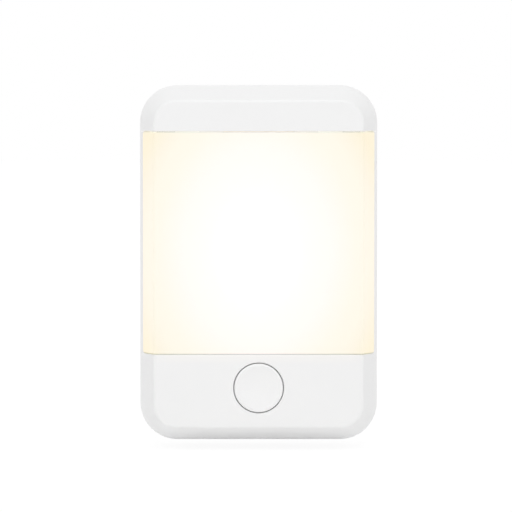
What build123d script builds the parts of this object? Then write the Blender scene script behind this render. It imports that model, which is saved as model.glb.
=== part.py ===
from build123d import *
from math import copysign, hypot, pi, radians, tan
import os

# Plug-in night light, in millimetres. +Z is up, +X is right as seen from the front, the front faces
# -Y and the plug pins point along +Y. The origin is the middle of the plug's end face, halfway
# between the pins. A depth is a distance from that end face towards the front, so y is minus the
# depth. Plane.XZ faces the front, so the plane at a depth is Plane.XZ.offset(depth).

# Housing: depths of the back, the parting line, the bevel's outer rim and the front
body_width = 60.0
body_height = 89.7
corner_radius = 9.4
wall = 2.0
back_depth = 18.0
parting_depth = 28.0
rim_depth = 35.4
front_depth = 43.0
bevel_inset = 3.7
front_edge_radius = 0.9
rim_edge_radius = 12.0
back_edge_radius = 2.5
parting_chamfer = 0.3
lip_length = 1.5
lip_gap = 0.1
rib_thickness = 1.2
rib_length = 6.0
gusset_foot = 2.6
gusset_height = 3.4

# Diffuser and its window, from the lower seam to the upper seam
window_bottom = -22.6
window_top = 33.3
window_side_strip = 0.75
window_corner_radius = 0.8
window_edge_rounding = 0.3
seam_gap = 0.15
diffuser_wall = 1.6
hook_x = 18.0
hook_width = 6.0
hook_reach = 0.85
hook_length = 2.0
hook_root = 0.5

# Push button and its guide
button_z = -31.03
button_hole_radius = 6.32
button_hole_rounding = 0.3
button_radius = 6.14
button_rise = 0.4
button_skirt = 1.2
button_crown = 1.4
button_travel = 1.8
button_edge_radius = 0.45
dish_radius = 5.5
dish_flat_radius = 0.5
dish_sag = 0.6
flange_radius = 6.95
flange_thickness = 1.2
guide_radius = 7.25
guide_wall = 1.0
guide_length = 5.0
stem_radius = 2.2
stem_length = 4.4
face_clearance = 0.05
skin_tolerance = 0.005

# Reflector, a tray that widens towards the diffuser
tray_back_depth = 30.6
tray_front_depth = 41.0
tray_back_width = 37.0
tray_back_height = 46.0
tray_back_corner = 3.0
tray_front_width = 49.0
tray_front_height = 51.4
tray_front_corner = 4.0
tray_wall = 1.2
ear_depth = 31.6
ear_thickness = 1.4
ear_radius = 2.9
upper_ear = (12.0, 37.4)
lower_ear = (12.0, -25.7)
post_radius = 2.2
clip_z = 12.0
clip_width = 5.0
clip_thickness = 1.1
clip_gap = 0.15
clip_barb = 0.75
clip_tail = 1.0
clip_root = 0.4

# Circuit boards and LEDs
board_thickness = 1.6
led_board_width = 34.0
led_board_height = 42.0
led_board_corner = 1.0
led_board_depth = 29.0
led_columns = 2
led_rows = 3
led_pitch = 13.0
led_width = 2.8
led_height = 3.5
led_thickness = 0.8
led_rim = 0.3
led_cup_depth = 0.15
led_cup_corner = 0.4
led_window_gap = 0.6
power_board_depth = 22.0
power_board_width = 52.0
power_board_waist = 66.0
power_board_tab_width = 34.0
power_board_height = 82.0

# Fixings: half distances between centres, and the holes and pillars that take the screws
housing_screw_x = 21.6
housing_screw_z = 37.6
board_screw_x = 21.0
board_screw_z = 20.0
pillar_radius = 3.6
boss_radius = 3.2
board_post_radius = 3.0
screw_seat_depth = 23.0
boss_hole_end = 37.0
counterbore_radius = 2.7
clearance_hole_radius = 1.45
loose_hole_radius = 1.2
blind_floor = 0.6
housing_screw = {"head": 2.4, "head_height": 1.8, "core": 1.15, "length": 12.0}
reflector_screw = {"head": 1.9, "head_height": 1.4, "core": 0.85, "length": 6.0}
board_screw = {"head": 1.9, "head_height": 1.4, "core": 0.85, "length": 4.6}
plate_screw = {"head": 1.9, "head_height": 1.4, "core": 0.75, "length": 5.0}
pilot_gap = 0.05
head_chamfer_share = 0.3
cross_length_share = 1.2
cross_width_share = 0.28
cross_depth_share = 0.55

# Plug: a flattened hexagon with rounded noses, and two round pins
plug_height = 13.7
plug_flat = 26.1
plug_nose_radius = 5.43
plug_shoulder_radius = 1.5
plug_tip_rounding = 0.8
plug_draft = 0.8
plug_wall = 2.0
plug_end_wall = 3.2
plug_shoulder_turn = 45.0
centre_pad_length = 6.8
centre_pad_height = 5.2
pin_spacing = 19.0
pin_length = 19.0
pin_radius = 2.0
pin_tip_radius = 0.6
pin_tip_length = 1.8
bare_length = 9.0
neck_radius = 1.35
sleeve_radius = 1.8
sleeve_gap = 0.03
pin_flange_radius = 3.0
pin_flange_thickness = 1.2
pin_barrel_radius = 1.8
pin_barrel_end = 9.0
solder_cup_radius = 0.9
solder_cup_depth = 2.4
retainer_length = 26.0
retainer_height = 8.2
retainer_thickness = 1.8
retainer_chamfer = 0.3
retainer_hole_gap = 0.1

# Click switch under the button
switch_width = 8.5
switch_corner = 0.5
switch_chamfer = 0.3
switch_wall = 0.8
switch_base_thickness = 1.0
switch_top_depth = 33.0
plunger_radius = 1.95
plunger_fit = 0.08
plunger_chamfer = 0.4
plunger_flange_width = 6.4
plunger_flange_thickness = 1.2
plunger_gap = 0.1
spring_radius = 1.7
spring_wire_radius = 0.2
spring_sides = 8
spring_turns = 5
spring_peg_gap = 0.2
spring_peg_height = 0.8
plunger_peg_height = 1.2
contact_rise = 2.65
contact_x = 2.0
contact_length = 5.6
contact_width = 1.0
contact_thickness = 0.3
contact_tip_radius = 0.4
contact_tip_height = 0.25
contact_gap = 0.15
terminal_width = 0.9
terminal_thickness = 0.4
terminal_pad_width = 1.4
terminal_tail = 0.9
terminal_hole_radius = 0.65
terminal_slot = (1.2, 0.8)

# Wires and component legs
lead_radius = 0.75
lead_hole = (6.5, 1.6)
lead_cup_gap = 0.4
lead_straight = 5.0
lead_rise = 3.4
lead_end = 0.6
led_wire_radius = 0.5
led_wire_x = 7.5
led_wire_route = ((21.4, -23.4), (27.2, -22.9), (28.4, -15.8), (28.42, -9.9))
bend_share = 0.45
leg_radius = 0.3
leg_tail = 1.2
leg_root = 1.0
hole_gap = 0.15
stand_off = 0.1

# Parts on the power board: where each one stands, its size and its legs' half spacing
dropper_place = (0.0, 34.5)
dropper_size = (17.6, 7.0, 11.4)
dropper_legs = 7.5
dropper_edge_radius = 0.5
smoothing_place = (-12.5, -35.0)
smoothing_radius = 4.0
smoothing_height = 11.4
smoothing_legs = 1.75
can_groove_depth = 0.4
can_groove_height = 1.7
can_edge = 0.3
varistor_place = (12.5, -35.0)
varistor_radius = 3.6
varistor_thickness = 3.4
varistor_edge = 0.7
varistor_height = 4.8
varistor_leg_root = 2.5
varistor_legs = 2.5
fuse_place = (-13.0, 12.0)
fuse_height = 2.0
fuse_cap_radius = 1.5
fuse_body_radius = 1.3
fuse_half_length = 4.5
fuse_cap_start = 2.7
fuse_waist = 2.2
fuse_legs = 7.0
fuse_bend_radius = 0.9
rectifier_place = (13.0, 13.0)
rectifier_size = (4.0, 4.8, 2.4)
rectifier_chamfer = 0.3
rectifier_feet_pitch = (5.4, 2.6)
rectifier_foot = (1.6, 0.7, 0.3)
resistors_place = (13.0, -8.0)
resistors_pitch = (5.0, 4.0)
resistor_size = (3.2, 1.6, 0.6)

# Worked out from the sizes above
bevel_depth = front_depth - rim_depth
bevel_slope = hypot(bevel_inset, bevel_depth)
window_floor_depth = rim_depth + window_side_strip * bevel_depth / bevel_inset
inner_face = front_depth - wall
light_z = (window_top + window_bottom) / 2
board_face = power_board_depth + board_thickness
led_board_face = led_board_depth + board_thickness
cap_face = front_depth + button_rise
crown_depth = cap_face - dish_sag - button_crown
plunger_tip_depth = crown_depth - stem_length
ear_face = ear_depth + ear_thickness
small_pilot_radius = board_screw["core"] + pilot_gap
sides = (-1, 1)
four_corners = [(x, z) for x in sides for z in sides]
housing_screw_places = [(x * housing_screw_x, z * housing_screw_z) for x, z in four_corners]
board_screw_places = [(x * board_screw_x, z * board_screw_z) for x, z in four_corners]
ear_places = [(x * ear[0], ear[1]) for x in sides for ear in (upper_ear, lower_ear)]
pin_places = [(side * pin_spacing / 2, 0) for side in sides]
lead_hole_places = [(side * lead_hole[0], lead_hole[1]) for side in sides]
led_wire_places = [(side * led_wire_x, led_wire_route[0][1]) for side in sides]
button_place = (0, button_z)
contact_z = button_z + contact_rise
contact_places = [(side * contact_x, contact_z) for side in sides]

os.makedirs("parts", exist_ok=True)


def save(builder, name):
    builder.part.label = name
    export_step(builder.part, f"parts/{name}.step")


def rounded_outline(inset, mode=Mode.ADD):
    # The housing's outline with every edge moved inwards
    RectangleRounded(
        body_width - 2 * inset,
        body_height - 2 * inset,
        corner_radius - inset,
        mode=mode,
    )


def bevelled_form(shrink):
    # The housing's outside shape, or the same shape with every face moved inwards by shrink
    rim = rim_depth - shrink * (bevel_slope - bevel_depth) / bevel_inset
    front = front_depth - shrink
    front_inset = shrink + (front - rim) * bevel_inset / bevel_depth
    back = back_depth + shrink
    with BuildPart() as form:
        with BuildSketch(Plane.XZ.offset(back)):
            rounded_outline(shrink)
        extrude(amount=rim - back)
        for depth, inset in ((rim, shrink), (front, front_inset)):
            with BuildSketch(Plane.XZ.offset(depth)):
                rounded_outline(inset)
        loft(ruled=True)
    return form.part


def rounded_form():
    # The outside shape with its moulded edge radii
    with BuildPart() as form:
        add(bevelled_form(0))
        for depth, radius in (
            (front_depth, front_edge_radius),
            (rim_depth, rim_edge_radius),
            (back_depth, back_edge_radius),
        ):
            ring = form.edges().filter_by_position(Axis.Y, -depth, -depth)
            fillet(ring, radius)
    return form.part


def window_prism(gap):
    # The stretch of the front that the diffuser fills, through both side bevels
    with BuildPart() as prism:
        with BuildSketch(Plane.YZ) as profile:
            with BuildLine():
                Polyline(
                    (-window_floor_depth - gap, window_bottom + gap),
                    (-front_depth - wall, window_bottom + gap),
                    (-front_depth - wall, window_top - gap),
                    (-window_floor_depth - gap, window_top - gap),
                    close=True,
                )
            make_face()
            corners = profile.vertices().group_by(Axis.X)[-1]
            fillet(corners, window_corner_radius - gap)
        extrude(amount=body_width, both=True)
    return prism.part


def boss_ribs(first_depth):
    # Two ribs from each screw boss to the walls beside it, ending inside the wall
    with BuildPart() as ribs:
        with BuildSketch(Plane.XZ.offset(first_depth)):
            for x, z in housing_screw_places:
                across = copysign(corner_radius, x)
                up = copysign(corner_radius, z)
                with Locations((x + across / 2, z)):
                    Rectangle(corner_radius, rib_thickness)
                with Locations((x, z + up / 2)):
                    Rectangle(rib_thickness, corner_radius)
        extrude(amount=rib_length)
        add(bevelled_form(wall / 2), mode=Mode.INTERSECT)
    return ribs.part


def guide_gussets():
    # Triangles that stiffen the button's guide on its left and right
    guide_skin = guide_radius + guide_wall / 2
    gusset_end = guide_radius + guide_wall + gusset_foot
    with BuildPart() as gussets:
        for side in sides:
            with BuildSketch(Plane.XY.offset(button_z)):
                with BuildLine():
                    Polyline(
                        (side * guide_skin, -inner_face - wall / 2),
                        (side * gusset_end, -inner_face - wall / 2),
                        (side * gusset_end, -inner_face),
                        (side * guide_skin, -inner_face + gusset_height),
                        close=True,
                    )
                make_face()
            extrude(amount=rib_thickness / 2, both=True)
    return gussets.part


def on_both_skins(edge, first_form, second_form):
    # True for an edge that runs where the surfaces of two forms cross
    middle = edge @ 0.5
    touches = [min(face.distance_to(middle) for face in form.faces()) for form in (first_form, second_form)]
    return max(touches) < skin_tolerance


def plug_outline(shrink):
    # A flattened hexagon with rounded noses
    half_height = plug_height / 2 - shrink
    half_flat = plug_flat / 2 - shrink * tan(radians(plug_shoulder_turn / 2))
    nose = half_flat + half_height
    with BuildSketch() as outline:
        with BuildLine():
            Polyline(
                (half_flat, half_height),
                (nose, 0),
                (half_flat, -half_height),
                (-half_flat, -half_height),
                (-nose, 0),
                (-half_flat, half_height),
                close=True,
            )
        make_face()
        fillet(outline.vertices().group_by(Axis.Y)[1], plug_nose_radius - shrink)
        fillet(outline.vertices().group_by(Axis.Y)[0], plug_shoulder_radius)
        fillet(outline.vertices().group_by(Axis.Y)[-1], plug_shoulder_radius)
    return outline.sketch


outer_form = rounded_form()
inner_form = bevelled_form(wall)


# Front half of the housing: bevelled shell with the diffuser window, screw bosses and button guide
window_cut = window_prism(0)
front_ribs = boss_ribs(parting_depth + lip_length)
front_gussets = guide_gussets()
boss_length = inner_face + wall / 2 - parting_depth
post_length = inner_face + wall / 2 - ear_face
with BuildPart() as front_cover:
    add(outer_form)
    add(inner_form, mode=Mode.SUBTRACT)
    split(bisect_by=Plane.XZ.offset(parting_depth), keep=Keep.TOP)
    outer_ring = front_cover.faces().sort_by(Axis.Y)[-1].outer_wire().edges()
    chamfer(outer_ring, parting_chamfer)
    with BuildSketch(Plane.XZ.offset(parting_depth)):
        rounded_outline(wall / 2 + lip_gap)
        rounded_outline(wall, mode=Mode.SUBTRACT)
    extrude(amount=-lip_length)
    with BuildSketch(Plane.XZ.offset(parting_depth)):
        with Locations(housing_screw_places):
            Circle(boss_radius)
    extrude(amount=boss_length)
    add(front_ribs)
    with BuildSketch(Plane.XZ.offset(ear_face)):
        with Locations(ear_places):
            Circle(post_radius)
    extrude(amount=post_length)
    with BuildSketch(Plane.XZ.offset(inner_face - guide_length)):
        with Locations(button_place):
            Circle(guide_radius + guide_wall)
    extrude(amount=guide_length + wall / 2)
    add(front_gussets)
    with BuildSketch(Plane.XZ.offset(inner_face - guide_length)):
        with Locations(button_place):
            Circle(guide_radius)
    extrude(amount=guide_length, mode=Mode.SUBTRACT)
    with BuildSketch(Plane.XZ.offset(inner_face)):
        with Locations(button_place):
            Circle(button_hole_radius)
    extrude(amount=wall, mode=Mode.SUBTRACT)
    face_circles = front_cover.edges().filter_by(GeomType.CIRCLE).filter_by_position(
        Axis.Y, -front_depth, -front_depth
    )
    hole_edge = face_circles.sort_by_distance((0, -front_depth, button_z))[0]
    fillet(hole_edge, button_hole_rounding)
    with BuildSketch(Plane.XZ.offset(parting_depth)):
        with Locations(housing_screw_places):
            Circle(housing_screw["core"] + pilot_gap)
    extrude(amount=boss_hole_end - parting_depth, mode=Mode.SUBTRACT)
    with BuildSketch(Plane.XZ.offset(ear_face)):
        with Locations(ear_places):
            Circle(small_pilot_radius)
    extrude(amount=reflector_screw["length"], mode=Mode.SUBTRACT)
    add(window_cut, mode=Mode.SUBTRACT)
    window_rim = front_cover.edges().filter_by(lambda edge: on_both_skins(edge, outer_form, window_cut))
    fillet(window_rim, window_edge_rounding)
save(front_cover, "front_cover")


def diffuser_hollow():
    # The space inside the diffuser: every face moved in by the wall, with end walls left standing
    with BuildPart() as hollow:
        add(bevelled_form(diffuser_wall))
        with BuildSketch(Plane.XZ.offset(back_depth)):
            with Locations((0, light_z)):
                Rectangle(body_width, window_top - window_bottom - 2 * (seam_gap + diffuser_wall))
        extrude(amount=front_depth, mode=Mode.INTERSECT)
    return hollow.part


# Opal diffuser: a shallow box that fills the window and snaps behind the front wall
diffuser_prism = window_prism(seam_gap)
diffuser_space = diffuser_hollow()
catch_depth = inner_face - face_clearance
with BuildPart() as diffuser:
    add(outer_form)
    add(diffuser_prism, mode=Mode.INTERSECT)
    add(diffuser_space, mode=Mode.SUBTRACT)
    for edge_z, side in ((window_top - seam_gap, 1), (window_bottom + seam_gap, -1)):
        for x in (-hook_x, hook_x):
            with BuildSketch(Plane.YZ.offset(x)):
                with BuildLine():
                    Polyline(
                        (-catch_depth, edge_z - side * hook_root),
                        (-catch_depth, edge_z + side * hook_reach),
                        (-catch_depth + hook_length, edge_z),
                        (-catch_depth + hook_length, edge_z - side * hook_root),
                        close=True,
                    )
                make_face()
            extrude(amount=hook_width / 2, both=True)
save(diffuser, "diffuser")


# Button cap: dished face, skirt, retaining flange and a stem that bears on the switch
flange_bottom = catch_depth - flange_thickness
stem_end = plunger_tip_depth + face_clearance
with BuildPart() as button_cap:
    with BuildSketch(Plane.XY.offset(button_z)) as cap_profile:
        with BuildLine():
            Line((0, -cap_face + dish_sag), (dish_flat_radius, -cap_face + dish_sag))
            TangentArc((dish_flat_radius, -cap_face + dish_sag), (dish_radius, -cap_face), tangent=(1, 0))
            Polyline(
                (dish_radius, -cap_face),
                (button_radius, -cap_face),
                (button_radius, -catch_depth),
                (flange_radius, -catch_depth),
                (flange_radius, -flange_bottom),
                (button_radius - button_skirt, -flange_bottom),
                (button_radius - button_skirt, -crown_depth),
                (stem_radius, -crown_depth),
                (stem_radius, -stem_end),
                (0, -stem_end),
                (0, -cap_face + dish_sag),
            )
        make_face()
        rim = cap_profile.vertices().sort_by_distance((button_radius, -cap_face, button_z))[0]
        fillet(rim, button_edge_radius)
    revolve(axis=Axis((0, 0, button_z), (0, 1, 0)))
save(button_cap, "button_cap")


# Back half of the housing: shell, plug base, screw pillars, board posts and pin seats
plug_form = plug_outline(0)
plug_space = plug_outline(plug_wall)
back_inner = back_depth + wall
back_ribs = boss_ribs(back_inner)
pillar_foot = back_depth + wall / 2
with BuildPart() as back_cover:
    add(outer_form)
    add(inner_form, mode=Mode.SUBTRACT)
    split(bisect_by=Plane.XZ.offset(parting_depth), keep=Keep.BOTTOM)
    outer_ring = back_cover.faces().sort_by(Axis.Y)[0].outer_wire().edges()
    chamfer(outer_ring, parting_chamfer)
    with BuildSketch(Plane.XZ.offset(parting_depth)):
        rounded_outline(wall / 2)
    extrude(amount=-lip_length - lip_gap, mode=Mode.SUBTRACT)
    with BuildSketch(Plane.XZ):
        add(plug_form)
    extrude(amount=back_depth, taper=-plug_draft)
    tip_edges = back_cover.edges().filter_by_position(Axis.Y, 0, 0)
    fillet(tip_edges, plug_tip_rounding)
    with BuildSketch(Plane.XZ.offset(plug_end_wall)):
        add(plug_space)
    extrude(amount=back_inner - plug_end_wall, mode=Mode.SUBTRACT)
    with BuildSketch(Plane.XZ.offset(plug_end_wall)):
        SlotCenterToCenter(centre_pad_length, centre_pad_height)
    extrude(amount=pin_flange_thickness)
    with BuildSketch(Plane.XZ.offset(pillar_foot)):
        with Locations(housing_screw_places):
            Circle(pillar_radius)
    extrude(amount=parting_depth - pillar_foot - face_clearance)
    add(back_ribs)
    with BuildSketch(Plane.XZ.offset(pillar_foot)):
        with Locations(board_screw_places):
            Circle(board_post_radius)
    extrude(amount=power_board_depth - pillar_foot)
    with BuildSketch(Plane.XZ.offset(back_depth)):
        with Locations(housing_screw_places):
            Circle(counterbore_radius)
    extrude(amount=screw_seat_depth - back_depth, mode=Mode.SUBTRACT)
    with BuildSketch(Plane.XZ.offset(back_depth)):
        with Locations(housing_screw_places):
            Circle(clearance_hole_radius)
    extrude(amount=parting_depth - back_depth, mode=Mode.SUBTRACT)
    with BuildSketch(Plane.XZ.offset(back_depth + blind_floor)):
        with Locations(board_screw_places):
            Circle(small_pilot_radius)
    extrude(amount=power_board_depth - back_depth, mode=Mode.SUBTRACT)
    with BuildSketch(Plane.XZ):
        with Locations(pin_places):
            Circle(sleeve_radius + sleeve_gap)
    extrude(amount=plug_end_wall, mode=Mode.SUBTRACT)
    with BuildSketch(Plane.XZ.offset(blind_floor)):
        Circle(plate_screw["core"] + pilot_gap)
    extrude(amount=plug_end_wall + pin_flange_thickness, mode=Mode.SUBTRACT)
save(back_cover, "back_cover")


def tray_form(shrink):
    # The reflector's widening tray; shrink moves its walls inwards and its floor forwards
    share = shrink / (tray_front_depth - tray_back_depth)
    floor_width = tray_back_width + share * (tray_front_width - tray_back_width) - 2 * shrink
    floor_height = tray_back_height + share * (tray_front_height - tray_back_height) - 2 * shrink
    with BuildPart() as tray:
        with BuildSketch(Plane.XZ.offset(tray_back_depth + shrink)):
            with Locations((0, light_z)):
                RectangleRounded(floor_width, floor_height, tray_back_corner)
        with BuildSketch(Plane.XZ.offset(tray_front_depth)):
            with Locations((0, light_z)):
                RectangleRounded(
                    tray_front_width - 2 * shrink,
                    tray_front_height - 2 * shrink,
                    tray_front_corner,
                )
        loft(ruled=True)
    return tray.part


# Reflector: white light box with windows for the LEDs, screw ears and clips for the LED board
tray_outside = tray_form(0)
tray_inside = tray_form(tray_wall)
clip_root_depth = tray_back_depth + clip_root
clip_catch_depth = led_board_depth - face_clearance
clip_end_depth = led_board_depth - clip_tail
with BuildPart() as reflector:
    add(tray_outside)
    with BuildSketch(Plane.XZ.offset(ear_depth)):
        for x, z in ear_places:
            with Locations((x, z)):
                Circle(ear_radius)
            with Locations((x, (z + light_z) / 2)):
                Rectangle(2 * ear_radius, abs(z - light_z))
    extrude(amount=ear_thickness)
    add(tray_inside, mode=Mode.SUBTRACT)
    with BuildSketch(Plane.XZ.offset(tray_back_depth)):
        with Locations((0, light_z)):
            with GridLocations(led_pitch, led_pitch, led_columns, led_rows):
                Rectangle(led_width + 2 * led_window_gap, led_height + 2 * led_window_gap)
    extrude(amount=tray_wall, mode=Mode.SUBTRACT)
    with BuildSketch(Plane.XZ.offset(ear_depth)):
        with Locations(ear_places):
            Circle(loose_hole_radius)
    extrude(amount=ear_thickness, mode=Mode.SUBTRACT)
    for side, clip_centre in [(x, light_z + z * clip_z) for x, z in four_corners]:
        inner_x = side * (led_board_width / 2 + clip_gap)
        outer_x = inner_x + side * clip_thickness
        with BuildSketch(Plane.XY.offset(clip_centre)):
            with BuildLine():
                Polyline(
                    (inner_x, -clip_root_depth),
                    (inner_x, -clip_catch_depth),
                    (inner_x - side * clip_barb, -clip_catch_depth),
                    (inner_x, -clip_end_depth),
                    (outer_x, -clip_end_depth),
                    (outer_x, -clip_root_depth),
                    close=True,
                )
            make_face()
        extrude(amount=clip_width / 2, both=True)
save(reflector, "reflector")


# LED board
with BuildPart() as led_board:
    with BuildSketch(Plane.XZ.offset(led_board_depth)):
        with Locations((0, light_z)):
            RectangleRounded(led_board_width, led_board_height, led_board_corner)
    extrude(amount=board_thickness)
save(led_board, "led_board")


# LEDs: six surface-mount packages, each with a shallow cup of phosphor
with BuildPart() as leds:
    with BuildSketch(Plane.XZ.offset(led_board_face)):
        with Locations((0, light_z)):
            with GridLocations(led_pitch, led_pitch, led_columns, led_rows):
                Rectangle(led_width, led_height)
    extrude(amount=led_thickness)
    with BuildSketch(Plane.XZ.offset(led_board_face + led_thickness)):
        with Locations((0, light_z)):
            with GridLocations(led_pitch, led_pitch, led_columns, led_rows):
                RectangleRounded(led_width - 2 * led_rim, led_height - 2 * led_rim, led_cup_corner)
    extrude(amount=-led_cup_depth, mode=Mode.SUBTRACT)
save(leds, "leds")


# Power board, with holes for its screws, the component legs, the leads and the switch terminals
dropper_leg_places = [(dropper_place[0] + side * dropper_legs, dropper_place[1]) for side in sides]
smoothing_leg_places = [(smoothing_place[0] + side * smoothing_legs, smoothing_place[1]) for side in sides]
varistor_leg_places = [(varistor_place[0] + side * varistor_legs, varistor_place[1]) for side in sides]
fuse_leg_places = [(fuse_place[0], fuse_place[1] + side * fuse_legs) for side in sides]
leg_places = dropper_leg_places + smoothing_leg_places + varistor_leg_places + fuse_leg_places
with BuildPart() as power_board:
    with BuildSketch(Plane.XZ.offset(power_board_depth)):
        Rectangle(power_board_width, power_board_waist)
        Rectangle(power_board_tab_width, power_board_height)
        for places, radius in (
            (board_screw_places, loose_hole_radius),
            (leg_places, leg_radius + hole_gap),
            (lead_hole_places, lead_radius + hole_gap),
            (led_wire_places, led_wire_radius + hole_gap),
            (contact_places, terminal_hole_radius),
        ):
            with Locations(places):
                Circle(radius, mode=Mode.SUBTRACT)
    extrude(amount=board_thickness)
save(power_board, "power_board")


def legs(places, root):
    # Straight wire legs from inside a component down through the board
    with BuildPart() as leg_pair:
        with BuildSketch(Plane.XZ.offset(power_board_depth - leg_tail)):
            with Locations(places):
                Circle(leg_radius)
        extrude(amount=board_thickness + leg_tail + root)
    return leg_pair.part


# Dropper capacitor: a moulded box
dropper_leg_pair = legs(dropper_leg_places, leg_root)
with BuildPart() as dropper_capacitor:
    with BuildSketch(Plane.XZ.offset(board_face + stand_off)):
        with Locations(dropper_place):
            RectangleRounded(dropper_size[0], dropper_size[1], dropper_edge_radius)
    extrude(amount=dropper_size[2])
    top_edges = dropper_capacitor.faces().sort_by(Axis.Y)[0].edges()
    fillet(top_edges, dropper_edge_radius / 2)
    add(dropper_leg_pair)
save(dropper_capacitor, "dropper_capacitor")


# Smoothing capacitor: an electrolytic can with its rolled groove
smoothing_leg_pair = legs(smoothing_leg_places, leg_root)
smoothing_x, smoothing_z = smoothing_place
can_bottom = board_face + stand_off
can_top = can_bottom + smoothing_height
groove = can_bottom + can_groove_height
with BuildPart() as smoothing_capacitor:
    with BuildSketch(Plane.XY.offset(smoothing_z)):
        with BuildLine():
            Polyline(
                (smoothing_x, -can_bottom),
                (smoothing_x + smoothing_radius, -can_bottom),
                (smoothing_x + smoothing_radius, -groove + can_groove_depth),
                (smoothing_x + smoothing_radius - can_groove_depth, -groove),
                (smoothing_x + smoothing_radius, -groove - can_groove_depth),
                (smoothing_x + smoothing_radius, -can_top + can_edge),
                (smoothing_x + smoothing_radius - can_edge, -can_top),
                (smoothing_x, -can_top),
                close=True,
            )
        make_face()
    revolve(axis=Axis((smoothing_x, 0, smoothing_z), (0, 1, 0)))
    add(smoothing_leg_pair)
save(smoothing_capacitor, "smoothing_capacitor")


# Varistor: a coated disc standing on its legs
varistor_leg_pair = legs(varistor_leg_places, varistor_leg_root)
with BuildPart() as varistor:
    with BuildSketch(Plane.XY.offset(varistor_place[1])):
        with Locations((varistor_place[0], -board_face - varistor_height)):
            Circle(varistor_radius)
    extrude(amount=varistor_thickness / 2, both=True)
    chamfer(varistor.edges().filter_by(GeomType.CIRCLE), varistor_edge)
    add(varistor_leg_pair)
save(varistor, "varistor")


# Fuse resistor: an axial body with wider end caps and bent legs
fuse_axis_depth = board_face + fuse_height
fuse_leg_end = power_board_depth - leg_tail
fuse_x, fuse_z = fuse_place
with BuildPart() as fuse_resistor:
    with BuildSketch(Plane.YZ.offset(fuse_x)):
        with BuildLine():
            Polyline(
                (-fuse_axis_depth, fuse_z - fuse_half_length),
                (-fuse_axis_depth - fuse_cap_radius, fuse_z - fuse_half_length),
                (-fuse_axis_depth - fuse_cap_radius, fuse_z - fuse_cap_start),
                (-fuse_axis_depth - fuse_body_radius, fuse_z - fuse_waist),
                (-fuse_axis_depth - fuse_body_radius, fuse_z + fuse_waist),
                (-fuse_axis_depth - fuse_cap_radius, fuse_z + fuse_cap_start),
                (-fuse_axis_depth - fuse_cap_radius, fuse_z + fuse_half_length),
                (-fuse_axis_depth, fuse_z + fuse_half_length),
                close=True,
            )
        make_face()
    revolve(axis=Axis((fuse_x, -fuse_axis_depth, 0), (0, 0, 1)))
    with BuildLine(Plane.YZ.offset(fuse_x)) as leg_path:
        FilletPolyline(
            (-fuse_leg_end, fuse_z - fuse_legs),
            (-fuse_axis_depth, fuse_z - fuse_legs),
            (-fuse_axis_depth, fuse_z + fuse_legs),
            (-fuse_leg_end, fuse_z + fuse_legs),
            radius=fuse_bend_radius,
        )
    with BuildSketch(Plane(leg_path.line @ 0, z_dir=leg_path.line % 0)):
        Circle(leg_radius)
    sweep(path=leg_path.line)
save(fuse_resistor, "fuse_resistor")


# Bridge rectifier: a small moulded block on four feet
with BuildPart() as bridge_rectifier:
    with BuildSketch(Plane.XZ.offset(board_face + stand_off)):
        with Locations(rectifier_place):
            Rectangle(rectifier_size[0], rectifier_size[1])
    extrude(amount=rectifier_size[2])
    chamfer(bridge_rectifier.faces().sort_by(Axis.Y)[0].edges(), rectifier_chamfer)
    with BuildSketch(Plane.XZ.offset(board_face)):
        with Locations(rectifier_place):
            with GridLocations(*rectifier_feet_pitch, 2, 2):
                Rectangle(rectifier_foot[0], rectifier_foot[1])
    extrude(amount=rectifier_foot[2])
save(bridge_rectifier, "bridge_rectifier")


# Chip resistors
with BuildPart() as chip_resistors:
    with BuildSketch(Plane.XZ.offset(board_face)):
        with Locations(resistors_place):
            with GridLocations(*resistors_pitch, 2, 2):
                Rectangle(resistor_size[0], resistor_size[1])
    extrude(amount=resistor_size[2])
save(chip_resistors, "chip_resistors")


def plug_pin(x, name):
    # A bare round tip, a neck under the sleeve, a flange, a barrel and a solder cup
    flange_end = plug_end_wall + pin_flange_thickness
    cup_floor = pin_barrel_end - solder_cup_depth
    with BuildPart() as pin:
        with BuildSketch(Plane.XY):
            with BuildLine():
                Line((x, pin_length), (x + pin_tip_radius, pin_length))
                tip = RadiusArc(
                    (x + pin_tip_radius, pin_length),
                    (x + pin_radius, pin_length - pin_tip_length),
                    pin_radius,
                )
                Polyline(
                    tip @ 1,
                    (x + pin_radius, pin_length - bare_length),
                    (x + neck_radius, pin_length - bare_length),
                    (x + neck_radius, -plug_end_wall),
                    (x + pin_flange_radius, -plug_end_wall),
                    (x + pin_flange_radius, -flange_end),
                    (x + pin_barrel_radius, -flange_end),
                    (x + pin_barrel_radius, -pin_barrel_end),
                    (x + solder_cup_radius, -pin_barrel_end),
                    (x + solder_cup_radius, -cup_floor),
                    (x, -cup_floor),
                    (x, pin_length),
                )
            make_face()
        revolve(axis=Axis((x, 0, 0), (0, 1, 0)))
    save(pin, name)


plug_pin(-pin_spacing / 2, "live_pin")
plug_pin(pin_spacing / 2, "neutral_pin")


# Insulating sleeves on the necks of the pins
with BuildPart() as pin_sleeves:
    with BuildSketch(Plane.XZ.offset(plug_end_wall)):
        with Locations(pin_places):
            Circle(sleeve_radius)
            Circle(neck_radius + sleeve_gap, mode=Mode.SUBTRACT)
    extrude(amount=-plug_end_wall - pin_length + bare_length)
save(pin_sleeves, "pin_sleeves")


# Pin retainer: a plate with rounded ends that holds both pin flanges down
retainer_depth = plug_end_wall + pin_flange_thickness
with BuildPart() as pin_retainer:
    with BuildSketch(Plane.XZ.offset(retainer_depth)):
        SlotOverall(retainer_length, retainer_height)
        with Locations(pin_places):
            Circle(pin_barrel_radius + retainer_hole_gap, mode=Mode.SUBTRACT)
        Circle(loose_hole_radius, mode=Mode.SUBTRACT)
    extrude(amount=retainer_thickness)
    chamfer(pin_retainer.faces().sort_by(Axis.Y)[0].outer_wire().edges(), retainer_chamfer)
save(pin_retainer, "pin_retainer")


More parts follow.
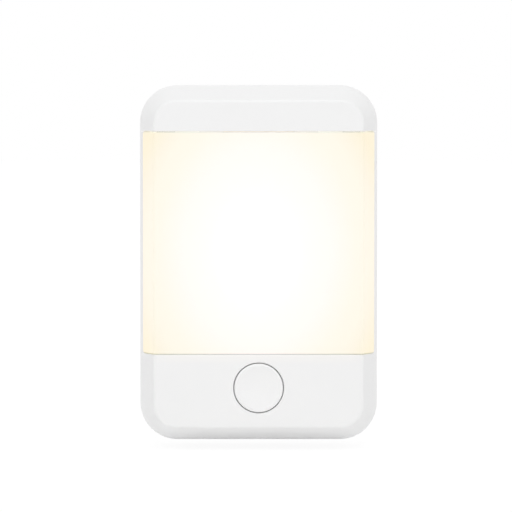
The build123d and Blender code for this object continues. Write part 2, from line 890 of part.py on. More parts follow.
def pan_screws(places, seat, size, side, name):
    # Pan-head screws with a cross recess; side is 1 where they drive towards the front
    head_top = seat - side * size["head_height"]
    with BuildPart() as screws:
        with BuildSketch(Plane.XZ.offset(seat)):
            with Locations(places):
                Circle(size["head"])
        extrude(amount=-side * size["head_height"])
        head_edges = screws.edges().filter_by_position(Axis.Y, -head_top, -head_top)
        chamfer(head_edges, size["head_height"] * head_chamfer_share)
        with BuildSketch(Plane.XZ.offset(seat)):
            with Locations(places):
                Circle(size["core"])
        extrude(amount=side * size["length"])
        with BuildSketch(Plane.XZ.offset(head_top)):
            with Locations(places):
                Rectangle(size["head"] * cross_length_share, size["head"] * cross_width_share)
                Rectangle(size["head"] * cross_width_share, size["head"] * cross_length_share)
        extrude(amount=side * size["head_height"] * cross_depth_share, mode=Mode.SUBTRACT)
    save(screws, name)


pan_screws(housing_screw_places, screw_seat_depth, housing_screw, 1, "housing_screws")
pan_screws(ear_places, ear_depth, reflector_screw, 1, "reflector_screws")
pan_screws(board_screw_places, board_face, board_screw, -1, "board_screws")
pan_screws([(0, 0)], retainer_depth + retainer_thickness, plate_screw, -1, "retainer_screw")


def bend_radii(points):
    # Each bend is bend_share of its shorter run, divided by the tangent of half the turn
    corners = [Vector(*point) for point in points]
    radii = []
    for before, corner, after in zip(corners, corners[1:], corners[2:]):
        run_in = corner - before
        run_out = after - corner
        half_turn = radians(run_in.get_angle(run_out)) / 2
        radii.append(bend_share * min(run_in.length, run_out.length) / tan(half_turn))
    return radii


def wire(points, radius, name):
    # A round wire along straight runs joined by tangent arcs
    radii = bend_radii(points)
    with BuildPart() as lead:
        with BuildLine() as route:
            FilletPolyline(*points, radius=radii)
        with BuildSketch(Plane(route.line @ 0, z_dir=route.line % 0)):
            Circle(radius)
        sweep(path=route.line)
    section_by_length = pi * radius**2 * route.wires()[0].length
    print(name, "bend radii", [round(bend, 1) for bend in radii])
    print(name, "volume", round(lead.part.volume, 2), "section by length", round(section_by_length, 2))
    save(lead, name)


# Mains leads, from the pins' solder cups to the power board
for side, name in ((-1, "live_lead"), (1, "neutral_lead")):
    cup_x = side * pin_spacing / 2
    hole_x = side * lead_hole[0]
    mains_route = [
        (cup_x, -pin_barrel_end + solder_cup_depth - lead_cup_gap, 0.0),
        (cup_x, -pin_barrel_end - lead_straight, 0.0),
        (hole_x, -power_board_depth + lead_rise, lead_hole[1]),
        (hole_x, -board_face - lead_end, lead_hole[1]),
    ]
    wire(mains_route, lead_radius, name)


# Wires from the power board to the pads on the back of the LED board
for side, name in ((-1, "led_wire_negative"), (1, "led_wire_positive")):
    low_voltage_route = [(side * led_wire_x, -depth, z) for depth, z in led_wire_route]
    wire(low_voltage_route, led_wire_radius, name)


# Click switch: base, case, plunger, moving contact, return spring and terminals
switch_floor = board_face + switch_base_thickness
spring_peg_radius = spring_radius - spring_wire_radius - spring_peg_gap
with BuildPart() as switch_base:
    with BuildSketch(Plane.XZ.offset(board_face)):
        with Locations(button_place):
            Rectangle(switch_width, switch_width)
        with Locations(contact_places):
            Rectangle(*terminal_slot, mode=Mode.SUBTRACT)
    extrude(amount=switch_base_thickness)
    with BuildSketch(Plane.XZ.offset(switch_floor)):
        with Locations(button_place):
            Circle(spring_peg_radius)
    extrude(amount=spring_peg_height)
save(switch_base, "switch_base")

switch_ceiling = switch_top_depth - switch_wall
with BuildPart() as switch_body:
    with BuildSketch(Plane.XZ.offset(switch_floor)):
        with Locations(button_place):
            RectangleRounded(switch_width, switch_width, switch_corner)
    extrude(amount=switch_top_depth - switch_floor)
    chamfer(switch_body.faces().sort_by(Axis.Y)[0].edges(), switch_chamfer)
    with BuildSketch(Plane.XZ.offset(switch_floor)):
        with Locations(button_place):
            Rectangle(switch_width - 2 * switch_wall, switch_width - 2 * switch_wall)
    extrude(amount=switch_ceiling - switch_floor, mode=Mode.SUBTRACT)
    with BuildSketch(Plane.XZ.offset(switch_ceiling)):
        with Locations(button_place):
            Circle(plunger_radius + plunger_fit)
    extrude(amount=switch_wall, mode=Mode.SUBTRACT)
save(switch_body, "switch_body")

plunger_flange_top = switch_ceiling - plunger_gap
plunger_flange_bottom = plunger_flange_top - plunger_flange_thickness
with BuildPart() as switch_plunger:
    with BuildSketch(Plane.XZ.offset(plunger_flange_bottom)):
        with Locations(button_place):
            Rectangle(plunger_flange_width, plunger_flange_width)
    extrude(amount=plunger_flange_thickness)
    with BuildSketch(Plane.XZ.offset(plunger_flange_top)):
        with Locations(button_place):
            Circle(plunger_radius)
    extrude(amount=plunger_tip_depth - plunger_flange_top)
    tip_edge = switch_plunger.faces().sort_by(Axis.Y)[0].edges()
    chamfer(tip_edge, plunger_chamfer)
    with BuildSketch(Plane.XZ.offset(plunger_flange_bottom)):
        with Locations(button_place):
            Circle(spring_peg_radius)
    extrude(amount=-plunger_peg_height)
save(switch_plunger, "switch_plunger")

contact_face = plunger_flange_bottom - contact_thickness
with BuildPart() as switch_contact:
    with BuildSketch(Plane.XZ.offset(plunger_flange_bottom)):
        with Locations((0, contact_z)):
            Rectangle(contact_length, contact_width)
    extrude(amount=-contact_thickness)
    with BuildSketch(Plane.XZ.offset(contact_face)):
        with Locations(contact_places):
            Circle(contact_tip_radius)
    extrude(amount=-contact_tip_height)
save(switch_contact, "switch_contact")

# The contact tips come to within contact_gap of the terminals at the end of the travel
terminal_top = contact_face - contact_tip_height - button_travel - contact_gap
terminal_end = power_board_depth - terminal_tail
with BuildPart() as switch_terminals:
    with BuildSketch(Plane.XZ.offset(terminal_end)):
        with Locations(contact_places):
            Rectangle(terminal_width, terminal_thickness)
    extrude(amount=terminal_top - terminal_end)
    with BuildSketch(Plane.XZ.offset(terminal_top)):
        with Locations(contact_places):
            Rectangle(terminal_pad_width, contact_width)
    extrude(amount=-contact_thickness)
save(switch_terminals, "switch_terminals")

spring_height = plunger_flange_bottom - switch_floor - 2 * spring_wire_radius
with BuildPart() as switch_spring:
    with BuildLine() as coil:
        Helix(
            pitch=spring_height / spring_turns,
            height=spring_height,
            radius=spring_radius,
            center=(0, -switch_floor - spring_wire_radius, button_z),
            direction=(0, -1, 0),
        )
    with BuildSketch(Plane(coil.line @ 0, z_dir=coil.line % 0)):
        RegularPolygon(spring_wire_radius, spring_sides)
    sweep(path=coil.line, is_frenet=True)
save(switch_spring, "switch_spring")
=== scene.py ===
import math

import bpy
import numpy as np
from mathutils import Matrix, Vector


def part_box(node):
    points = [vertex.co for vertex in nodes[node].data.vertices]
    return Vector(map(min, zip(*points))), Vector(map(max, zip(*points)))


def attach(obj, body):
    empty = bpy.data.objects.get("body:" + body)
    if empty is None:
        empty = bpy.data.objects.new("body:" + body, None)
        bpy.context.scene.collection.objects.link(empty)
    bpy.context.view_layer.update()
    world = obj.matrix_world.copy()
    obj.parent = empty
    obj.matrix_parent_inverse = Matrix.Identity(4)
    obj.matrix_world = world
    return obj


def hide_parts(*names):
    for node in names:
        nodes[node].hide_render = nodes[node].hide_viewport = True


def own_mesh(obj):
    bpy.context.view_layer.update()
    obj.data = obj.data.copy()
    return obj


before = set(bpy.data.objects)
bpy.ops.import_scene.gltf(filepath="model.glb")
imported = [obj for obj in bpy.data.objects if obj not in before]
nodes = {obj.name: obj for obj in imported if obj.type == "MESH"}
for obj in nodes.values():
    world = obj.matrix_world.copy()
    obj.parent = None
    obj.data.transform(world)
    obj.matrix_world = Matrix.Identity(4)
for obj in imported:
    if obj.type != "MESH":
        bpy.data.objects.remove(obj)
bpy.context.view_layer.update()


# a socket that can be used in sums: each operation adds one Math node
class Signal:
    def __init__(self, sheet, socket):
        self.sheet = sheet
        self.socket = socket

    def __add__(self, other):
        return self.sheet.maths("ADD", self, other)

    def __sub__(self, other):
        return self.sheet.maths("SUBTRACT", self, other)

    def __rsub__(self, other):
        return self.sheet.maths("SUBTRACT", other, self)

    def __mul__(self, other):
        return self.sheet.maths("MULTIPLY", self, other)

    def __truediv__(self, other):
        return self.sheet.maths("DIVIDE", self, other)

    def __abs__(self):
        return self.sheet.maths("ABSOLUTE", self)

    __radd__ = __add__
    __rmul__ = __mul__


# the nodes of one material or of the world
class NodeSheet:
    def __init__(self, tree):
        self.tree = tree
        self.tree.nodes.clear()

    # settings first, then values or links by socket name or number; gives back one output
    def add(self, kind, settings=None, values=None, output=0):
        node = self.tree.nodes.new(kind)
        for name, setting in (settings or {}).items():
            if name == "stops":
                ramp = node.color_ramp.elements
                while len(ramp) < len(setting):
                    ramp.new(1.0)
                for element, (position, colour) in zip(ramp, setting):
                    element.position = position
                    element.color = (*colour, 1.0)
            else:
                setattr(node, name, setting)
        for name, value in (values or {}).items():
            if isinstance(value, Signal):
                self.tree.links.new(value.socket, node.inputs[name])
            else:
                node.inputs[name].default_value = value
        return Signal(self, node.outputs[output]) if len(node.outputs) else node

    # one Math node: the operation on its terms, which are numbers or signals
    def maths(self, operation, *terms):
        return self.add("ShaderNodeMath", {"operation": operation}, dict(enumerate(terms)))

    # 0 at start and before, 1 at end and beyond, and a smooth step between. The start may be the
    # larger. A look that gives a pair of numbers for a mask gives this start and end.
    def step(self, signal, start, end):
        settings = {"interpolation_type": "SMOOTHSTEP"}
        return self.add("ShaderNodeMapRange", settings, {0: signal, 1: start, 2: end})

    # 1 within reach of zero, with an edge as soft as the last number
    def near(self, signal, reach, soft=0.00003):
        return self.step(abs(signal), reach + soft, reach - soft)

    # colour a where the mask is 0, colour b where it is 1; kind can add or multiply b instead. The
    # names of a Mix node's sockets repeat: its colours are the inputs 6 and 7 and the output 2.
    def blend(self, mask, a, b, kind="MIX"):
        values = {0: mask}
        for number, colour in ((6, a), (7, b)):
            values[number] = colour if isinstance(colour, Signal) else (*colour, 1.0)
        return self.add("ShaderNodeMix", {"data_type": "RGBA", "blend_type": kind}, values, 2)


# how the plain skin is made: a patch is a lump divided by this share, and each noise has its detail
skinLook = {"lumpOverPatch": 5, "driftDetail": 3.0, "patchDetail": 4.0, "grainDetail": 2.0}


# a material: what changes over the surface is gathered first and linked when it is worn
class Finish(NodeSheet):
    def __init__(self, name, look, plain=None):
        self.material = bpy.data.materials.new(name)
        self.material.use_nodes = True
        super().__init__(self.material.node_tree)
        self.shader = self.add("ShaderNodeBsdfPrincipled", {}, plain)
        self.add("ShaderNodeOutputMaterial", {}, {"Surface": self.shader})
        self.point = self.add("ShaderNodeTexCoord", output="Object")
        self.x, self.y, self.z = [
            self.add("ShaderNodeSeparateXYZ", {}, {0: self.point}, axis) for axis in range(3)
        ]
        self.paint(look)

    # the plain skin: its colour drifts slowly, its gloss changes in patches, its grain is fine
    def paint(self, look):
        low, high = 1.0 - look["spread"], 1.0 + look["spread"]
        dark = [low * part for part in look["colour"]]
        light = [high * part for part in look["colour"]]
        drift = self.noise(look["size"], skinLook["driftDetail"])
        patches = self.noise(look["size"] / skinLook["lumpOverPatch"], skinLook["patchDetail"])
        stretch = look.get("stretch", (1.0, 1.0, 1.0))
        streaks = self.add("ShaderNodeMapping", {}, {"Vector": self.point, "Scale": stretch})
        grain = self.noise(look["grain"], skinLook["grainDetail"], streaks)
        self.height = grain * look["grainDepth"]
        rough = look["roughness"] + (patches - 0.5) * look["roughnessChange"]
        self.values = {
            "Base Color": self.blend(drift, dark, light),
            "Roughness": rough,
            "Metallic": look.get("metal", 0.0),
        }

    # soft noise from 0 to 1 with lumps of about the given size in metres
    def noise(self, size, detail, point=None):
        values = {"Vector": point or self.point, "Scale": 1.0 / size, "Detail": detail}
        return self.add("ShaderNodeTexNoise", {}, values)

    # distance from an axis along y through the place x, z
    def fromAxis(self, x, z):
        across, up = self.x - x, self.z - z
        return self.maths("SQRT", across * across + up * up)

    # 1 inside an upright rectangle round the place x, z
    def inBox(self, place, halfWidth, halfHeight):
        return self.near(self.x - place[0], halfWidth) * self.near(self.z - place[1], halfHeight)

    # the largest or smallest of several signals
    def gather(self, operation, signals):
        total = signals[0]
        for signal in signals[1:]:
            total = self.maths(operation, total, signal)
        return total

    # a coat over the skin where its mask is 1, which may also stand proud by a height in metres
    def coat(self, mask, layer):
        self.values["Base Color"] = self.blend(mask, self.values["Base Color"], layer["colour"])
        for name, part in (("Roughness", "roughness"), ("Metallic", "metal")):
            self.values[name] = self.values[name] + mask * (layer[part] - self.values[name])
        self.height = self.height + mask * layer.get("rise", 0.0)

    # light given off by the surface at the strength its colour gives: real light in the LEDs, the
    # gel and the diffuser, painted light on the front and the tray
    def glow(self, colour):
        self.values["Emission Color"] = colour
        self.shader.socket.node.inputs["Emission Strength"].default_value = 1.0

    # bare tinned wire beyond the depth where the legs of a component leave its body
    def tinLegs(self, look):
        self.coat(self.step(self.y, look["legStart"] - look["legSoft"], look["legStart"]), tinned)

    # links what was gathered and puts the material on nodes or pieces
    def wear(self, *items):
        bump = {"Distance": 1.0, "Height": self.height}
        self.values["Normal"] = self.add("ShaderNodeBump", {}, bump)
        for name, value in self.values.items():
            socket = self.shader.socket.node.inputs[name]
            if isinstance(value, Signal):
                self.tree.links.new(value.socket, socket)
            else:
                socket.default_value = value
        for item in items:
            slots = (nodes[item] if isinstance(item, str) else item).data.materials
            for number in range(len(slots)):
                slots[number] = self.material
            if not len(slots):
                slots.append(self.material)


frontLook = {
    "colour": (0.875, 0.8755, 0.8765),
    "spread": 0.012,
    "size": 0.03,
    "roughness": 0.3,
    "roughnessChange": 0.08,
    "grain": 0.00025,
    "grainDepth": 0.000002,
    "windowBottom": -0.0226,
    "windowTop": 0.0333,
    "faceDepth": -0.036,
    "faceFade": 0.001,
    # painted light: the warm leak under the window and the light on the window's upper wall are
    # emission colours on the plastic
    "paintedLeakColour": (0.035, 0.022, 0.004),
    "leakStart": 0.00005,
    "leakWhole": 0.0003,
    "leakReach": 0.003,
    "leakHalfWidth": 0.022,
    "leakFade": 0.006,
    "paintedWallLight": (0.98, 0.9, 0.85),
    "wallReach": 0.00003,
    "wallSoft": 0.00002,
    "hookMiddle": 0.0183,
    "hookHalfWidth": 0.003,
    "hookSoft": 0.0002,
    "cornerStart": 0.0272,
    "cornerEnd": 0.0275,
    # painted shade: the share of the wall's painted light that the hooks and the corners take away
    "shelter": 0.55,
}


# the front takes warm light from the window as painted light, an emission colour on the plastic.
# Under it, a painted leak that is 1 at leakWhole below the bottom edge fades to 0 at leakReach and
# towards both sides.
# On the wall over it, the painted light is 1, and less by the shelter, a painted shade where the
# hooks and the corners keep it off.
def frontPlastic():
    look = frontLook
    skin = Finish("frontPlastic", look)
    side, bottom = abs(skin.x), look["windowBottom"]
    below = skin.step(skin.z, bottom - look["leakReach"], bottom)
    offWall = skin.step(skin.z, bottom - look["leakStart"], bottom - look["leakWhole"])
    inFront = skin.step(skin.y, look["faceDepth"] + look["faceFade"], look["faceDepth"])
    across = skin.step(side, look["leakHalfWidth"] + look["leakFade"], look["leakHalfWidth"])
    paintedLeak = below * offWall * inFront * across
    glow = skin.blend(paintedLeak, (0.0, 0.0, 0.0), look["paintedLeakColour"])
    paintedWall = skin.near(skin.z - look["windowTop"], look["wallReach"], look["wallSoft"]) * inFront
    atHooks = skin.near(side - look["hookMiddle"], look["hookHalfWidth"], look["hookSoft"])
    atCorners = skin.step(side, look["cornerStart"], look["cornerEnd"])
    paintedWall = paintedWall * (1.0 - (atHooks + atCorners) * look["shelter"])
    skin.glow(skin.blend(paintedWall, glow, look["paintedWallLight"], "ADD"))
    skin.wear("front_cover")


# the back half has the fine even grain of a spark-eroded mould
backLook = {
    "colour": (0.87, 0.8705, 0.872),
    "spread": 0.012,
    "size": 0.03,
    "roughness": 0.42,
    "roughnessChange": 0.1,
    "grain": 0.0003,
    "grainDepth": 0.000012,
}

capLook = {
    "colour": (0.883, 0.8835, 0.8845),
    "spread": 0.01,
    "size": 0.01,
    "roughness": 0.34,
    "roughnessChange": 0.06,
    "grain": 0.0002,
    "grainDepth": 0.000002,
}

sleeveLook = {
    "colour": (0.023, 0.023, 0.024),
    "spread": 0.2,
    "size": 0.006,
    "roughness": 0.48,
    "roughnessChange": 0.16,
    "grain": 0.00015,
    "grainDepth": 0.000004,
}

opalLook = {
    "colour": (0.571, 0.566, 0.551),
    "spread": 0.008,
    "size": 0.004,
    "roughness": 0.32,
    "roughnessChange": 0.06,
    "grain": 0.0002,
    "grainDepth": 0.0000015,
    "refraction": 1.49,
    "middle": (-0.0003, 0.0036),
    "heightOverWidth": 1.36,
    "fullReach": 0.036,
    "bevelGlow": (0.035, 0.025, 0.02),
    "bevelStart": 0.0252,
    "bevelEnd": 0.0274,
    "faceHalfWidth": 0.0263,
    "bevelSlope": 7.6 / 3.7,
    "face": -0.0434,
    "top": 0.0333,
    "bottom": -0.0226,
    "edgeShare": (0.72, 0.82, 0.9),
    "edgeStart": 0.00032,
    "edgeEnd": 0.0001,
    "topDrop": 0.00014,
    "wallGlow": (0.03, 0.03, 0.03),
    "wallTop": (0.0004, 0.00012),
    "wallFront": (0.0001, 0.0003),
    "wallBack": (0.0016, 0.0012),
    "glow": [
        (0.0, (0.71, 0.665, 0.55)),
        (0.333, (0.56, 0.475, 0.415)),
        (0.517, (0.47, 0.405, 0.37)),
        (0.694, (0.43, 0.38, 0.285)),
        (0.778, (0.41, 0.372, 0.265)),
        (0.839, (0.405, 0.35, 0.23)),
        (0.944, (0.395, 0.325, 0.15)),
    ],
}


# the glow weakens and warms with the distance from its middle, over an upright oval: reach is the
# root of across squared plus upright squared. The bevels add to it, the top and bottom edges keep
# a share of it, and the top wall, over a band of depth behind the bevelled face, adds a little.
def opalDiffuser():
    look = opalLook
    opal = Finish("opalDiffuser", look, {"IOR": look["refraction"]})
    across = opal.x - look["middle"][0]
    upright = (opal.z - look["middle"][1]) / look["heightOverWidth"]
    reach = opal.maths("SQRT", across * across + upright * upright) / look["fullReach"]
    glow = opal.add("ShaderNodeValToRGB", {"stops": look["glow"]}, {0: reach})
    onBevel = opal.step(abs(opal.x), look["bevelStart"], look["bevelEnd"])
    glow = opal.blend(onBevel, glow, look["bevelGlow"], "ADD")
    bevelDepth = (abs(opal.x) - look["faceHalfWidth"]) * look["bevelSlope"]
    depth = opal.y - look["face"] - opal.maths("MAXIMUM", bevelDepth, 0.0)
    fromTop = look["top"] - opal.z
    toEdge = opal.maths("MINIMUM", fromTop - look["topDrop"], opal.z - look["bottom"])
    atEdge = opal.step(toEdge, look["edgeStart"], look["edgeEnd"])
    glow = opal.blend(atEdge, glow, look["edgeShare"], "MULTIPLY")
    onWall = opal.step(fromTop, *look["wallTop"])
    onWall = onWall * opal.step(depth, *look["wallFront"]) * opal.step(depth, *look["wallBack"])
    glow = opal.blend(onWall, glow, look["wallGlow"], "ADD")
    opal.glow(glow)
    opal.wear("diffuser")


# drawn and plated metal: fine scratches run along the pin, where it slides into a socket
pinLook = {
    "colour": (0.7, 0.685, 0.65),
    "spread": 0.1,
    "size": 0.004,
    "roughness": 0.22,
    "roughnessChange": 0.16,
    "grain": 0.0003,
    "grainDepth": 0.0000025,
    "stretch": (1.0, 0.03, 1.0),
    "metal": 1.0,
}

screwLook = {
    "colour": (0.6, 0.605, 0.61),
    "spread": 0.13,
    "size": 0.0025,
    "roughness": 0.34,
    "roughnessChange": 0.18,
    "grain": 0.0002,
    "grainDepth": 0.000002,
    "metal": 1.0,
    "ringWidth": 0.00016,
    "ringDepth": 0.0000015,
    "ringRoughness": 0.03,
}

# each set of screws stands at plus and minus x, on two rows z, and its thread runs between two
# depths on a core of the given radius
screwSets = {
    "housing_screws": {
        "finish": "housingScrewZinc",
        "x": 0.0216,
        "z": (-0.0376, 0.0376),
        "thread": "housing_screw_threads",
        "run": (-0.0284, -0.0346),
        "core": 0.00115,
    },
    "reflector_screws": {
        "finish": "reflectorScrewZinc",
        "x": 0.012,
        "z": (-0.0257, 0.0374),
        "thread": "reflector_screw_threads",
        "run": (-0.0332, -0.0372),
        "core": 0.00085,
    },
    "board_screws": {
        "finish": "boardScrewZinc",
        "x": 0.021,
        "z": (-0.02, 0.02),
        "thread": "board_screw_threads",
        "run": (-0.0217, -0.0194),
        "core": 0.00085,
    },
    "retainer_screw": {
        "finish": "retainerScrewZinc",
        "x": 0.0,
        "z": (0.0, 0.0),
        "thread": "retainer_screw_thread",
        "run": (-0.0042, -0.0016),
        "core": 0.00075,
    },
}


# zinc plating with turned rings round each screw's own axis, the sine of the distance from it: the
# place is folded about the middle of the rows, so that one axis stands for all
def zincScrews(node, places):
    look = screwLook
    zinc = Finish(places["finish"], look)
    lower, upper = places["z"]
    across = abs(zinc.x) - places["x"]
    up = abs(zinc.z - (upper + lower) / 2) - (upper - lower) / 2
    reach = zinc.maths("SQRT", across * across + up * up)
    rings = zinc.maths("SINE", reach * (2 * math.pi / look["ringWidth"]))
    zinc.height = zinc.height + rings * look["ringDepth"]
    zinc.values["Roughness"] = zinc.values["Roughness"] + rings * look["ringRoughness"]
    zinc.wear(node)


frontPlastic()
Finish("backPlastic", backLook).wear("back_cover")
Finish("capPlastic", capLook).wear("button_cap", "switch_plunger")
opalDiffuser()
Finish("sleevePlastic", sleeveLook).wear("pin_sleeves")
Finish("platedPin", pinLook).wear("live_pin", "neutral_pin")
print("finishes on the outside")


# metals that lie on other finishes
tinned = {"colour": (0.7, 0.695, 0.67), "roughness": 0.3, "metal": 1.0, "rise": 0.00004}
silver = {"colour": (0.86, 0.85, 0.82), "roughness": 0.2, "metal": 1.0}

# the tray that throws the light forward, with a painted pool of warm light round each LED
ledBoardLow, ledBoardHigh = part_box("led_board")
trayLook = {
    "colour": (0.9, 0.9, 0.89),
    "spread": 0.01,
    "size": 0.02,
    "roughness": 0.36,
    "roughnessChange": 0.08,
    "grain": 0.0003,
    "grainDepth": 0.000006,
    "ledColumn": 0.0065,
    "ledMiddle": (ledBoardLow[2] + ledBoardHigh[2]) / 2,
    "ledPitch": 0.013,
    "paintedSpill": (0.0055, 0.0012),
    # painted light: the warm pool round each LED is an emission colour on the tray
    "paintedSpillColour": (0.3, 0.22, 0.1),
    "front": (-0.0312, -0.0315),
}


# distance to the nearest LED: both columns fold onto one, and the rows repeat every pitch
def fromLed(finish, look):
    across = abs(finish.x) - look["ledColumn"]
    up = finish.maths("PINGPONG", abs(finish.z - look["ledMiddle"]), look["ledPitch"] / 2)
    return across, up


# the painted light on the tray, an emission colour, grows from the outer to the inner reach round
# each LED, in front only
def trayPlastic():
    look = trayLook
    tray = Finish("trayPlastic", look)
    across, up = fromLed(tray, look)
    reach = tray.maths("SQRT", across * across + up * up)
    paintedSpill = tray.step(reach, *look["paintedSpill"]) * tray.step(tray.y, *look["front"])
    tray.glow(tray.blend(paintedSpill, (0.0, 0.0, 0.0), look["paintedSpillColour"]))
    tray.wear("reflector")


# the bare edge of a coated board, and how softly its faces begin
boardCore = {"colour": (0.47, 0.44, 0.26), "roughness": 0.75, "metal": 0.0}
boardEdge = {"faceSoft": 0.0001, "coatThickness": 0.00007}

whiteBoardLook = {
    "colour": (0.86, 0.865, 0.85),
    "spread": 0.015,
    "size": 0.01,
    "roughness": 0.33,
    "roughnessChange": 0.1,
    "grain": 0.0001,
    "grainDepth": 0.000003,
    "middle": -0.0298,
    "halfThickness": 0.0008,
    "track": {"colour": (0.78, 0.775, 0.72), "roughness": 0.3, "metal": 0.0, "rise": 0.000035},
    "trackWidth": 0.0014,
    "trackReach": 0.0162,
    "padReach": 0.0019,
    "padSize": (0.0026, 0.0009),
    "wirePad": (0.0075, -0.0112),
    "wirePadSize": (0.0024, 0.0042),
}

greenBoardLook = {
    "colour": (0.035, 0.19, 0.075),
    "spread": 0.07,
    "size": 0.008,
    "roughness": 0.3,
    "roughnessChange": 0.12,
    "grain": 0.0001,
    "grainDepth": 0.000003,
    "middle": -0.0228,
    "halfThickness": 0.0008,
    "track": {"colour": (0.075, 0.3, 0.1), "roughness": 0.27, "metal": 0.0, "rise": 0.000035},
    "print": {"colour": (0.83, 0.83, 0.8), "roughness": 0.6, "metal": 0.0, "rise": 0.00002},
    "trackWidth": 0.0018,
    "padRadius": (0.0013, 0.00125),
    "printWidth": 0.0002,
    "framed": (
        "dropper_capacitor", "smoothing_capacitor", "varistor",
        "fuse_resistor", "bridge_rectifier", "switch_body",
    ),
}

sides = (-1, 1)
terminalLow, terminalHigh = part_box("switch_terminals")
terminalZ = (terminalLow[2] + terminalHigh[2]) / 2

# where wires and legs pass through the power board, in pairs: the middle of each pair as x and z,
# and half the way from one hole to the other
holePairs = {
    "dropperLegs": ((0.0, 0.0345), (0.0075, 0.0)),
    "canLegs": ((-0.0125, -0.035), (0.00175, 0.0)),
    "varistorLegs": ((0.0125, -0.035), (0.0025, 0.0)),
    "fuseLegs": ((-0.013, 0.012), (0.0, 0.007)),
    "terminals": ((0.0, terminalZ), (0.002, 0.0)),
    "ledWires": ((0.0, -0.0234), (0.0075, 0.0)),
    "mainsLeads": ((0.0, 0.0016), (0.0065, 0.0)),
}
holes = {
    name: [(x + side * halfX, z + side * halfZ) for side in sides]
    for name, ((x, z), (halfX, halfZ)) in holePairs.items()
}

# copper runs on the back of the power board, each as its two ends
tracks = [
    ((-0.013, 0.0016), (-0.0065, 0.0016)),
    ((-0.013, 0.0016), (-0.013, 0.005)),
    ((-0.013, 0.019), (-0.013, 0.0345)),
    ((-0.013, 0.0345), (-0.0075, 0.0345)),
    ((0.0075, 0.0345), (0.0157, 0.0345)),
    ((0.0157, 0.0143), (0.0157, 0.0345)),
    ((0.0065, 0.0016), (0.0175, 0.0016)),
    ((0.0175, -0.006), (0.0175, 0.0117)),
    ((0.015, -0.035), (0.02, -0.035)),
    ((0.02, -0.035), (0.02, -0.012)),
    ((0.01, -0.035), (0.005, -0.035)),
    ((0.002, terminalZ), (0.0105, terminalZ)),
    ((0.0105, terminalZ), (0.0105, -0.0104)),
    ((-0.01075, -0.035), (-0.005, -0.035)),
    ((-0.01425, -0.035), (-0.019, -0.035)),
    ((-0.019, -0.035), (-0.019, -0.0104)),
    ((-0.0075, -0.0234), (-0.0075, -0.0104)),
    ((-0.002, terminalZ), (-0.002, -0.0234)),
    ((-0.002, -0.0234), (-0.0075, -0.0234)),
]


# a coated board: bare core on its cut edges; gives back the masks of its front and back faces
def circuitBoard(name, look):
    board = Finish(name, look)
    fromMiddle, soft = board.y - look["middle"], boardEdge["faceSoft"]
    inFront = board.step(fromMiddle, soft, -soft)
    core = board.near(fromMiddle, look["halfThickness"] - boardEdge["coatThickness"])
    board.coat(core, boardCore)
    return board, inFront, 1.0 - inFront


# tracks join the pads of the LEDs: two columns and a bridge at each end, the larger of their masks.
# The pads repeat with the LEDs, and the wires have theirs behind.
def whiteBoard():
    look = whiteBoardLook
    board, inFront, behind = circuitBoard("whiteBoard", look)
    across, up = fromLed(board, trayLook)
    alongRows = abs(board.z - trayLook["ledMiddle"])
    halfTrack = look["trackWidth"] / 2
    column = board.near(across, halfTrack) * board.near(alongRows, look["trackReach"])
    bridge = board.near(alongRows - look["trackReach"], halfTrack)
    bridge = bridge * board.near(board.x, trayLook["ledColumn"] + halfTrack)
    board.coat(board.maths("MAXIMUM", column, bridge) * inFront, look["track"])
    padWidth, padHeight = look["padSize"]
    pads = board.near(across, padWidth / 2) * board.near(up - look["padReach"], padHeight / 2)
    board.coat(pads * inFront * board.near(alongRows, look["trackReach"]), tinned)
    width, height = look["wirePadSize"]
    wirePads = board.near(abs(board.x) - look["wirePad"][0], width / 2)
    wirePads = wirePads * board.near(board.z - look["wirePad"][1], height / 2)
    board.coat(wirePads * behind, tinned)
    board.wear("led_board")


# a printed frame round a component: the band between its box, grown by two lines, and by three
def printedFrame(board, node, line):
    low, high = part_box(node)
    place = ((low[0] + high[0]) / 2, (low[2] + high[2]) / 2)
    halfWidth = (high[0] - low[0]) / 2 + 2 * line
    halfHeight = (high[2] - low[2]) / 2 + 2 * line
    outside = board.inBox(place, halfWidth + line, halfHeight + line)
    return outside * (1.0 - board.inBox(place, halfWidth, halfHeight))


# each track is an upright or level box that reaches half its width past both ends; the largest of
# their masks is the copper, and the smallest distance to a hole makes the tinned pads
def greenBoard():
    look = greenBoardLook
    board, inFront, behind = circuitBoard("greenBoard", look)
    halfTrack = look["trackWidth"] / 2
    runs = []
    for (startX, startZ), (endX, endZ) in tracks:
        middle = ((startX + endX) / 2, (startZ + endZ) / 2)
        halfWidth = abs(endX - startX) / 2 + halfTrack
        halfHeight = abs(endZ - startZ) / 2 + halfTrack
        runs.append(board.inBox(middle, halfWidth, halfHeight))
    board.coat(board.gather("MAXIMUM", runs) * behind, look["track"])
    frames = [printedFrame(board, node, look["printWidth"]) for node in look["framed"]]
    board.coat(board.gather("MAXIMUM", frames) * inFront, look["print"])
    reaches = [board.fromAxis(*place) for pair in holes.values() for place in pair]
    board.coat(board.step(board.gather("MINIMUM", reaches), *look["padRadius"]), tinned)
    board.wear("power_board")


ledLook = {
    "colour": (0.86, 0.855, 0.82),
    "spread": 0.02,
    "size": 0.002,
    "roughness": 0.45,
    "roughnessChange": 0.1,
    "grain": 0.00008,
    "grainDepth": 0.000002,
    "phosphor": {"colour": (0.9, 0.72, 0.12), "roughness": 0.35, "metal": 0.0},
    "cupSize": (0.0022, 0.0029),
    "cupTop": (-0.0311, -0.03115),
    "glow": (1.0, 0.8, 0.42),
    "endReach": (0.00168, 0.00171),
}


# white packages: yellow phosphor in the cup, which gives the light, and tinned ends
def ledPackage():
    look = ledLook
    led = Finish("ledPackage", look)
    across, up = fromLed(led, trayLook)
    width, height = look["cupSize"]
    inCup = led.near(across, width / 2) * led.near(up, height / 2)
    inCup = inCup * led.step(led.y, *look["cupTop"])
    led.coat(inCup, look["phosphor"])
    led.coat(led.step(up, *look["endReach"]), tinned)
    led.glow(led.blend(inCup, (0.0, 0.0, 0.0), look["glow"]))
    led.wear("leds")


